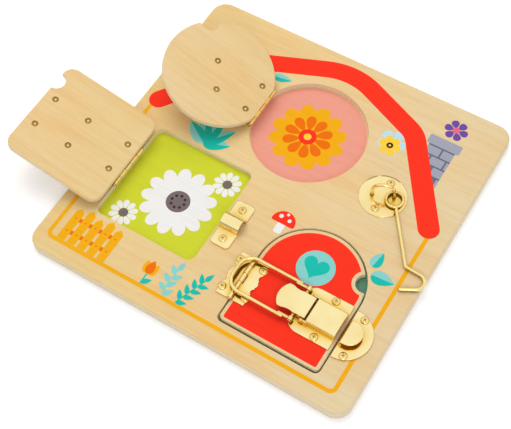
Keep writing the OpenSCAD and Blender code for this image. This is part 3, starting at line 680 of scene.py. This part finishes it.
def bloom_tree():
    """A ring of petals round each point."""
    tree, way_in, way_out = new_tree(
        "ink_bloom", ("Petals", "Int"), ("Ring", "Float"), ("Length", "Float"),
        ("Breadth", "Float"), ("Thickness", "Float"), ("Ink", "Material"))
    ring = add_node(tree, "GeometryNodeMeshCircle")
    wire(tree, (way_in, "Petals"), (ring, "Vertices"))
    wire(tree, (way_in, "Ring"), (ring, "Radius"))
    outward = add_node(tree, "GeometryNodeInputPosition")
    turn = add_node(tree, "FunctionNodeAlignRotationToVector", axis="X", pivot_axis="Z")
    wire(tree, (outward, 0), (turn, "Vector"))
    petals = add_node(tree, "GeometryNodeInstanceOnPoints")
    wire(tree, fanned(tree, (ring, "Mesh")), (petals, "Points"))
    wire(tree, petal_nodes(tree, way_in, -1), (petals, "Instance"))
    wire(tree, (turn, 0), (petals, "Rotation"))
    blooms = add_node(tree, "GeometryNodeInstanceOnPoints")
    wire(tree, (way_in, "Geometry"), (blooms, "Points"))
    wire(tree, (petals, "Instances"), (blooms, "Instance"))
    return end_tree(tree, way_in, way_out, (blooms, "Instances"))


SPRIG, BLOOM = sprig_tree(), bloom_tree()


def sprig(name, body, under, layer, code, points, leaves, length, width, lean=48):
    height, thick = ink_level(under, layer)
    return grow(name, SPRIG, points, height, body, path_edges(points),
                Leaves=leaves, Length=length * MM, Breadth=width * MM,
                Lean=math.radians(lean), Thickness=thick, Ink=ink(code))


def bloom(name, body, under, layer, code, centres, petals, ring, length, width):
    height, thick = ink_level(under, layer)
    return grow(name, BLOOM, centres, height, body,
                Petals=petals, Ring=ring * MM, Length=length * MM, Breadth=width * MM,
                Thickness=thick, Ink=ink(code))


for name, code, leaves, length, width, stem in (
    ("teal", TEAL, 9, 9.0, 4.4, [(-12, -132.4), (-7, -119), (-1.5, -105)]),
    ("pale_teal", PALE_TEAL, 7, 9.0, 5.0, [(-25, -132), (-27, -120), (-25.5, -108)]),
):
    sprig(name + "_sprig", *ON_FRONT, 1, code, stem, leaves, length, width, 52)
    stroke(name + "_stem", *ON_FRONT, 0, code, 1.2, stem, (0, 20, 0))

tulip_x, tulip_y, tulip_foot = -46, -123, -133
tulip_stem = [(tulip_x, tulip_foot), (tulip_x, tulip_y + 2)]
stroke("tulip_stem", *ON_FRONT, 0, TEAL, 1.4, tulip_stem, (0, 0))
print_shapes("tulip", *ON_FRONT, [
    (AMBER, 1, leaf(tulip_x, tulip_y, 12, 9, 118)),
    (AMBER, 1, leaf(tulip_x, tulip_y, 12, 9, 62)),
    (ORANGE, 2, leaf(tulip_x, tulip_y, 12.5, 8, 90)),
    (TEAL, 1, leaf(tulip_x, tulip_foot + 1, 9, 5, 40)),
])

hood_x, hood_y, hood_r, brim_r = 24, -27, 10.5, 1.8
hood = (arc(hood_x, hood_y, hood_r, 0, 180, 24)
        + arc(hood_x - hood_r + brim_r, hood_y, brim_r, 180, 270, 4)
        + arc(hood_x + hood_r - brim_r, hood_y, brim_r, 270, 360, 4))
print_shapes("toadstool", *ON_FRONT, [
    (WHITE, 0, rounded(20.5, -38.5, 27.5, -24, 2.4)),
    (RED, 1, hood),
    (WHITE, 2, disc(20, -22.5, 1.9, 16)),
    (WHITE, 2, disc(28.3, -23.5, 1.7, 16)),
    (WHITE, 2, disc(24.6, -18.8, 1.3, 16)),
])

pansy_x, pansy_y = 64, 84
bloom("pansy_back", *ON_FRONT, 0, SKY, [(pansy_x, pansy_y + 4)], 5, 2.5, 10, 10)
bloom("pansy_front", *ON_FRONT, 1, YELLOW, [(pansy_x, pansy_y)], 6, 1.5, 8.5, 7)
print_shapes("pansy_eye", *ON_FRONT, [
    (BROWN, 2, disc(pansy_x, pansy_y, 3)), (YELLOW, 3, disc(pansy_x, pansy_y, 1.1, 16))])
violet_x, violet_y = 106, 126
bloom("violet_petals", *ON_FRONT, 0, PURPLE, [(violet_x, violet_y)], 6, 2.0, 8.6, 7)
print_shapes("violet_eye", *ON_FRONT, [(PINK, 1, disc(violet_x, violet_y, 3.2))])

print_shapes("gable_leaves", *ON_FRONT, [
    shape
    for place in ((106.5, -26, 16, 10.5, 80), (109.5, -32.5, 20, 13, 4), (-60, 98, 17, 9, 10))
    for shape in two_tone(*place, 0, 1)
])
bush_x, bush_y, bush_leaf_w = -76, 6, 13
print_shapes("bush", *ON_FRONT, [
    shape
    for level, length, turn in (
        (0.0, 24, 20), (0.8, 26, 148), (0.2, 30, 52), (0.6, 31, 116), (0.4, 34, 84))
    for shape in two_tone(bush_x, bush_y, length, bush_leaf_w, turn, level, 0.1)
])

# ---- Pictures behind the doors ----
# Printed on the back panel and seen through the openings: daisies on lime, a layered bloom on
# salmon, and a sprig with daisies on sage.

LIME, TAUPE, SALMON, SAGE = "#D0D632", "#77686A", "#EE9F8B", "#5B8A70"
ON_BACK = ("root", BACK_TOP)

daisy_x, daisy_y = -64, -52
small_daisies = [(-37, -17), (-98, -84)]
print_shapes("lime_ground", *ON_BACK, [(LIME, 0, rounded(-117.5, -96.5, -21, 0.5, 6))])
bloom("daisy_petals", *ON_BACK, 1, WHITE, [(daisy_x, daisy_y)], 13, 8.0, 25, 12)
bloom("small_daisy_petals", *ON_BACK, 1, WHITE, small_daisies, 10, 3.5, 9, 5.2)
print_shapes("daisy_eyes", *ON_BACK, [
    (WHITE, 0.5, disc(daisy_x, daisy_y, 15)),
    (TAUPE, 2, disc(daisy_x, daisy_y, 10.5)),
    *((TAUPE, 2, disc(x, y, 4.2)) for x, y in small_daisies),
    *((BROWN, 3, disc(x, y, 1.3, 12)) for x, y in disc(daisy_x, daisy_y, 6, 8)),
])

round_x, round_y, round_r = -3.0, 61.5, 50.5
bloom_y = round_y - 2
print_shapes("salmon_ground", *ON_BACK, [(SALMON, 0, disc(round_x, round_y, round_r, 64))])
bloom("amber_petals", *ON_BACK, 1, AMBER, [(round_x, bloom_y)], 12, 9.0, 25, 14)
bloom("orange_petals", *ON_BACK, 2, ORANGE, [(round_x, bloom_y)], 10, 7.0, 15, 9)
print_shapes("bloom_eye", *ON_BACK, [
    (AMBER, 0.5, disc(round_x, bloom_y, 16)),
    (RED, 3, disc(round_x, bloom_y, 8)),
    (YELLOW, 4, disc(round_x, bloom_y, 3.4)),
])

sage_daisies = [(45, -52), (94, -66), (46, -98)]
print_shapes("sage_ground", *ON_BACK, [(SAGE, 0, rounded(23, -129.5, 115, -13, 8))])
sprig("pale_sprig", *ON_BACK, 1, PALE_TEAL, [(69, -120), (71, -88), (68, -52)], 15, 16, 8)
bloom("sage_daisies", *ON_BACK, 2, WHITE, sage_daisies, 9, 3.0, 8, 4.6)
print_shapes("sage_eyes", *ON_BACK, [(YELLOW, 3, disc(x, y, 3.4, 20)) for x, y in sage_daisies])

# ---- Brass fittings ----
# Hinges, bolt, staples, hook and toggle latch are brass-plated steel, polished bright and
# lacquered. Their colour holds painted shade, brown in corners and at the sides of wires.


def speckle(tree, scale, detail):
    """Even noise, in features a metre."""
    texture = add_node(tree, "ShaderNodeTexCoord")
    noise = add_node(tree, "ShaderNodeTexNoise", Scale=scale, Detail=detail)
    feed(tree, texture.outputs["Object"], noise.inputs["Vector"])
    return noise.outputs["Fac"]


def brass(name, tone, painted_shade_tones, rough, ripple, edge_r):
    """Polished brass plate: pale gold with softened edges, faint waves and painted shade in corners."""
    material, tree, metal = new_material(name, Coat_Weight=0.5, Coat_Roughness=0.06)
    tarnish = ramp(tree, speckle(tree, 55.0, 3.0), (0.3, "#EEDCB4"), (0.6, UNSTAINED))
    plate = mix(tree, "MULTIPLY", 0.35, colour(tone), tarnish)
    # Painted shade: the colour browns and the metal dulls where the surface is closed in, in corners and at wire
    # sides.
    corner = add_node(tree, "ShaderNodeAmbientOcclusion", samples=8, Distance=8.0 * MM)
    deepest, deep, shallow = painted_shade_tones
    painted_shade = ramp(tree, corner.outputs["AO"],
                  (0.08, deepest), (0.38, deep), (0.70, shallow), (0.94, UNSTAINED))
    feed(tree, mix(tree, "MULTIPLY", 1.0, plate, painted_shade), metal.inputs["Base Color"])
    feed(tree, spread(tree, corner.outputs["AO"], 0.15, 0.45), metal.inputs["Metallic"])
    dull = spread(tree, speckle(tree, 900.0, 2.0), 0.0, 1.0, rough * 0.8, rough * 1.3)
    feed(tree, dull, metal.inputs["Roughness"])
    soft_edge = add_node(tree, "ShaderNodeBevel", samples=8, Radius=edge_r)
    waves = relief(tree, speckle(tree, 160.0, 1.0), ripple, 0.4 * MM, soft_edge.outputs[0])
    feed(tree, waves, metal.inputs["Normal"])
    return material


# Tones of painted shade, deepest first: for plates and screws, and for wires and turned parts.
PLATE_PAINTED_SHADE = ("#D2A842", "#E0BE48", "#F8DF84")
ROUND_PAINTED_SHADE = ("#5A4612", "#866E26", "#C8AC54")
finishes = {
    "sheet_brass": brass("sheet_brass_finish", "#FCEAAC", PLATE_PAINTED_SHADE, 0.12, 0.25, 0.9 * MM),
    "wire_brass": brass("wire_brass_finish", "#FBE69C", ROUND_PAINTED_SHADE, 0.10, 0.03, 0.3 * MM),
    "turned_brass": brass("turned_brass_finish", "#FAE6A0", ROUND_PAINTED_SHADE, 0.10, 0.03, 0.4 * MM),
    "fastener_brass": brass(
        "fastener_brass_finish", "#F5DD92", PLATE_PAINTED_SHADE, 0.15, 0.05, 0.3 * MM),
}
for part in frame["record"]["subparts"]:
    if part["material_slot"] in finishes:
        finish_node(part["node"], finishes[part["material_slot"]])

# ---- Doors ----
# Each is one sheet of the front panel's plywood with eased edges. Screws that hold its fittings
# run through it and end as small sunk rivet tails on its back.

joints = {joint["name"]: joint for joint in frame["joints"]}
DOOR_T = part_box("barn_door")[1].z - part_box("barn_door")[0].z
door_foot = FRONT_TOP - DOOR_T


def swing(hinge):
    """How a door that stands open was moved there: a turn about its hinge. No hinge, no move."""
    if not hinge:
        return Matrix.Identity(4)
    joint = joints[hinge]
    pivot = Vector(joint["pos_m"])
    turn = Matrix.Rotation(-math.radians(joint["range_deg"][1]), 4, Vector(joint["axis"]))
    return Matrix.Translation(pivot) @ turn @ Matrix.Translation(-pivot)


for door, hinge, shift in (
    ("square_door", "square_door_hinge", 11.3),
    ("round_door", "round_door_hinge", 5.9),
    ("barn_door", None, 8.1),
):
    door_wood = plywood(door + "_plywood", door_foot, DOOR_T / FRONT_PLIES, swing(hinge), shift)
    finish_node(door, door_wood)

# ---- Print on the barn door ----
# Red paint up to three millimetres from the edge and the finger notch, and a turquoise roundel
# with a heart.


def heart(x, y, half):
    """A heart from the usual curve, which is 16 to each side, brought to a half width."""
    points = []
    for i in range(40):
        t = 2 * math.pi * i / 40
        u = 16 * math.sin(t) ** 3
        v = 13 * math.cos(t) - 5 * math.cos(2 * t) - 2 * math.cos(3 * t) - math.cos(4 * t)
        points.append((x + u * half / 16, y + v * half / 16))
    return points


barn_low, barn_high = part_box("barn_door")
margin, foot_margin, corner_r = 3.0, 2.2, 1.5
barn_r = (barn_high.x - barn_low.x) / 2 / MM
barn_x = (barn_high.x + barn_low.x) / 2 / MM
spring_y = barn_high.y / MM - barn_r
corner_x = barn_r - margin - corner_r
corner_y = barn_low.y / MM + foot_margin + corner_r
notch_angle, notch_r = 25.0, 8.5
roundel_x, roundel_y, roundel_r, heart_half = 68.5, -50, 16, 11

# The paint's edge follows the round top, but gives way to the notch on an arc of its own. The two
# meet at an angle to the notch's direction: reach from the top's centre, skirt from the notch's.
paint_r, skirt_r = barn_r - margin, notch_r + margin
reach = math.degrees(math.acos((paint_r**2 + barn_r**2 - skirt_r**2) / (2 * paint_r * barn_r)))
skirt = math.degrees(math.acos((skirt_r**2 + barn_r**2 - paint_r**2) / (2 * skirt_r * barn_r)))
notch_x = barn_x + barn_r * math.cos(math.radians(notch_angle))
notch_y = spring_y + barn_r * math.sin(math.radians(notch_angle))
barn_paint = (
    arc(barn_x - corner_x, corner_y, corner_r, 180, 270, 4)
    + arc(barn_x + corner_x, corner_y, corner_r, 270, 360, 4)
    + arc(barn_x, spring_y, paint_r, 0, notch_angle - reach, 6)
    + arc(notch_x, notch_y, skirt_r, notch_angle + 180 + skirt, notch_angle + 180 - skirt, 14)
    + arc(barn_x, spring_y, paint_r, notch_angle + reach, 180, 48)
)
print_shapes("barn_paint", "barn_door_body", FRONT_TOP, [
    (RED, 0, barn_paint),
    (PALE_TEAL, 1, disc(roundel_x, roundel_y, roundel_r, 56)),
    (TEAL, 2, heart(roundel_x - 0.5, roundel_y + 0.5, heart_half)),
])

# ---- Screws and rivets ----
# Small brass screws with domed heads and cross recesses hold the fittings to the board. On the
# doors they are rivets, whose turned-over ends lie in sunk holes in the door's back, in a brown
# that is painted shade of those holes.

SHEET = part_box("hook_rosette")[1].z - FRONT_TOP
head_size = {
    "Head_Radius": 3.5 * MM, "Head_Height": 1.6 * MM, "Cross": 4.2 * MM, "Slot": 0.8 * MM}
pan_r, pan_t, pan_depth = 2.8 * MM, 0.4 * MM, 0.7 * MM
tip_r, tip_h = 1.15 * MM, 0.6 * MM
HEAD_SINK = 0.05 * MM
DOME_ANGLE, SHARP_ANGLE = 1.4, 0.6
FASTENER_SPAN = 8 * MM


def make_tail_shade():
    """The unpolished end of a rivet: dull, its brown a painted shade of its sunk hole, darker in random pits."""
    material, tree, metal = new_material("rivet_end", Metallic=0.6, Roughness=0.5)
    pits = speckle(tree, 1400.0, 2.0)
    shade = ramp(tree, pits, (0.35, "#7E5E2C"), (0.65, "#BC9656"))
    feed(tree, shade, metal.inputs["Base Color"])
    feed(tree, relief(tree, pits, 0.3, 0.1 * MM), metal.inputs["Normal"])
    return material


def dome(tree, radius, height):
    """A flat-bottomed dome that stands on the origin."""
    blank = add_node(tree, "GeometryNodeMeshCylinder", fill_type="TRIANGLE_FAN", Vertices=36,
                     Side_Segments=7, Radius=1.0, Depth=1.0)
    x, y, z = point_xyz(tree)
    slope = maths(tree, "MULTIPLY", maths(tree, "ADD", z, 0.5), DOME_ANGLE)
    out = maths(tree, "MULTIPLY", maths(tree, "COSINE", slope), radius)
    up = maths(tree, "MULTIPLY", maths(tree, "SINE", slope), height)
    return reshape(tree, (blank, "Mesh"), maths(tree, "MULTIPLY", x, out),
                   maths(tree, "MULTIPLY", y, out), up)


def fastener_tree():
    """At each point a domed head with a tapered cross recess, and a rivet's end if it has one."""
    tree, way_in, way_out = new_tree(
        "fasteners", ("Head Radius", "Float"), ("Head Height", "Float"), ("Cross", "Float"),
        ("Slot", "Float"), ("Drop", "Float"), ("Tail", "Bool"), ("Metal", "Material"),
        ("End Metal", "Material"))
    cut = add_node(tree, "GeometryNodeMeshBoolean", operation="DIFFERENCE", solver="EXACT")
    wire(tree, dome(tree, (way_in, "Head Radius"), (way_in, "Head Height")), (cut, "Mesh 1"))
    tall = maths(tree, "MULTIPLY", (way_in, "Head Height"), 1.2)
    for x_size, y_size in (("Cross", "Slot"), ("Slot", "Cross")):
        block = add_node(tree, "GeometryNodeMeshCube")
        wire(tree, join_xyz(tree, (way_in, x_size), (way_in, y_size), tall), (block, "Size"))
        x, y, z = point_xyz(tree)
        low = maths(tree, "LESS_THAN", z, 0.0)
        narrow = maths(tree, "SUBTRACT", 1.0, maths(tree, "MULTIPLY", low, 0.5))
        tapered = reshape(
            tree, (block, "Mesh"), maths(tree, "MULTIPLY", x, narrow),
            maths(tree, "MULTIPLY", y, narrow), maths(tree, "ADD", z, (way_in, "Head Height")))
        wire(tree, tapered, (cut, "Mesh 2"))
    head = add_node(tree, "GeometryNodeTransform", Translation=(0, 0, -HEAD_SINK))
    tip = add_node(tree, "GeometryNodeTransform", Translation=(0, 0, pan_depth),
                   Rotation=(math.pi, 0, 0))
    pan = add_node(tree, "GeometryNodeTransform", Translation=(0, 0, pan_depth + pan_t / 2))
    pan_blank = add_node(tree, "GeometryNodeMeshCylinder", Vertices=36, Radius=pan_r, Depth=pan_t)
    whole = add_node(tree, "GeometryNodeJoinGeometry")
    tail = add_node(tree, "GeometryNodeJoinGeometry")
    for source, part, metal, group in (
        ((cut, "Mesh"), head, "Metal", whole),
        (dome(tree, tip_r, tip_h), tip, "Metal", tail),
        ((pan_blank, "Mesh"), pan, "End Metal", tail),
    ):
        paint = add_node(tree, "GeometryNodeSetMaterial")
        wire(tree, source, (part, "Geometry"))
        wire(tree, (part, "Geometry"), (paint, "Geometry"))
        wire(tree, (way_in, metal), (paint, "Material"))
        wire(tree, (paint, "Geometry"), (group, "Geometry"))
    dropped = add_node(tree, "GeometryNodeTransform")
    down = join_xyz(tree, z=maths(tree, "MULTIPLY", (way_in, "Drop"), -1.0))
    wire(tree, (tail, "Geometry"), (dropped, "Geometry"))
    wire(tree, down, (dropped, "Translation"))
    only = add_node(tree, "GeometryNodeSwitch", input_type="GEOMETRY")
    wire(tree, (way_in, "Tail"), (only, "Switch"))
    wire(tree, (dropped, "Geometry"), (only, "True"))
    wire(tree, (only, 0), (whole, "Geometry"))
    quarter = add_node(tree, "FunctionNodeRandomValue", data_type="FLOAT", Seed=7)
    quarter.inputs["Max"].default_value = math.pi / 2
    placed = add_node(tree, "GeometryNodeInstanceOnPoints")
    wire(tree, (way_in, "Geometry"), (placed, "Points"))
    wire(tree, (whole, "Geometry"), (placed, "Instance"))
    wire(tree, join_xyz(tree, z=(quarter, "Value")), (placed, "Rotation"))
    real = add_node(tree, "GeometryNodeRealizeInstances")
    smooth = add_node(tree, "GeometryNodeSetShadeSmooth", domain="FACE", Shade_Smooth=True)
    sharp = add_node(tree, "GeometryNodeSetShadeSmooth", domain="EDGE", Shade_Smooth=False)
    fold = add_node(tree, "GeometryNodeInputMeshEdgeAngle")
    creased = maths(tree, "GREATER_THAN", (fold, "Unsigned Angle"), SHARP_ANGLE)
    wire(tree, (placed, "Instances"), (real, "Geometry"))
    wire(tree, (real, "Geometry"), (smooth, "Geometry"))
    wire(tree, (smooth, "Geometry"), (sharp, "Geometry"))
    wire(tree, creased, (sharp, "Selection"))
    wire(tree, (sharp, "Geometry"), (way_out, "Geometry"))
    return tree


def fastener_places(names, opened):
    """Middles of the CAD model's fasteners in millimetres, with their door closed."""
    back = opened.inverted()
    groups = []
    for name in names:
        for vertex in nodes[name].data.vertices:
            place = back @ vertex.co
            near = [g for g in groups if math.dist(g[0][:2], place[:2]) < FASTENER_SPAN]
            if near:
                near[0].append(place)
            else:
                groups.append([place])
    middles = []
    for group in groups:
        xs, ys = [place.x for place in group], [place.y for place in group]
        middles.append(((min(xs) + max(xs)) / 2 / MM, (min(ys) + max(ys)) / 2 / MM))
    return middles


FASTENERS = fastener_tree()
painted_tail_shade = make_tail_shade()
for name, body, hinge, tail, names in (
    ("board_screws", "root", None, False,
     ("board_hinge_screws", "keeper_screws", "hook_rosette_screws", "catch_screws")),
    ("square_door_rivets", "square_door_body", "square_door_hinge", True,
     ("square_hinge_rivets", "bolt_casing_rivets")),
    ("round_door_rivets", "round_door_body", "round_door_hinge", True,
     ("round_hinge_rivets", "round_rosette_rivets")),
    ("barn_door_rivets", "barn_door_body", None, True,
     ("barn_hinge_rivets", "latch_base_rivets")),
):
    opened = swing(hinge)
    made = grow(name, FASTENERS, fastener_places(names, opened), FRONT_TOP + SHEET, body,
                slot="fastener_brass", Drop=SHEET + DOOR_T, Tail=tail,
                Metal=finishes["fastener_brass"], End_Metal=painted_tail_shade, **head_size)
    made.data.transform(opened)
    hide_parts(*names)
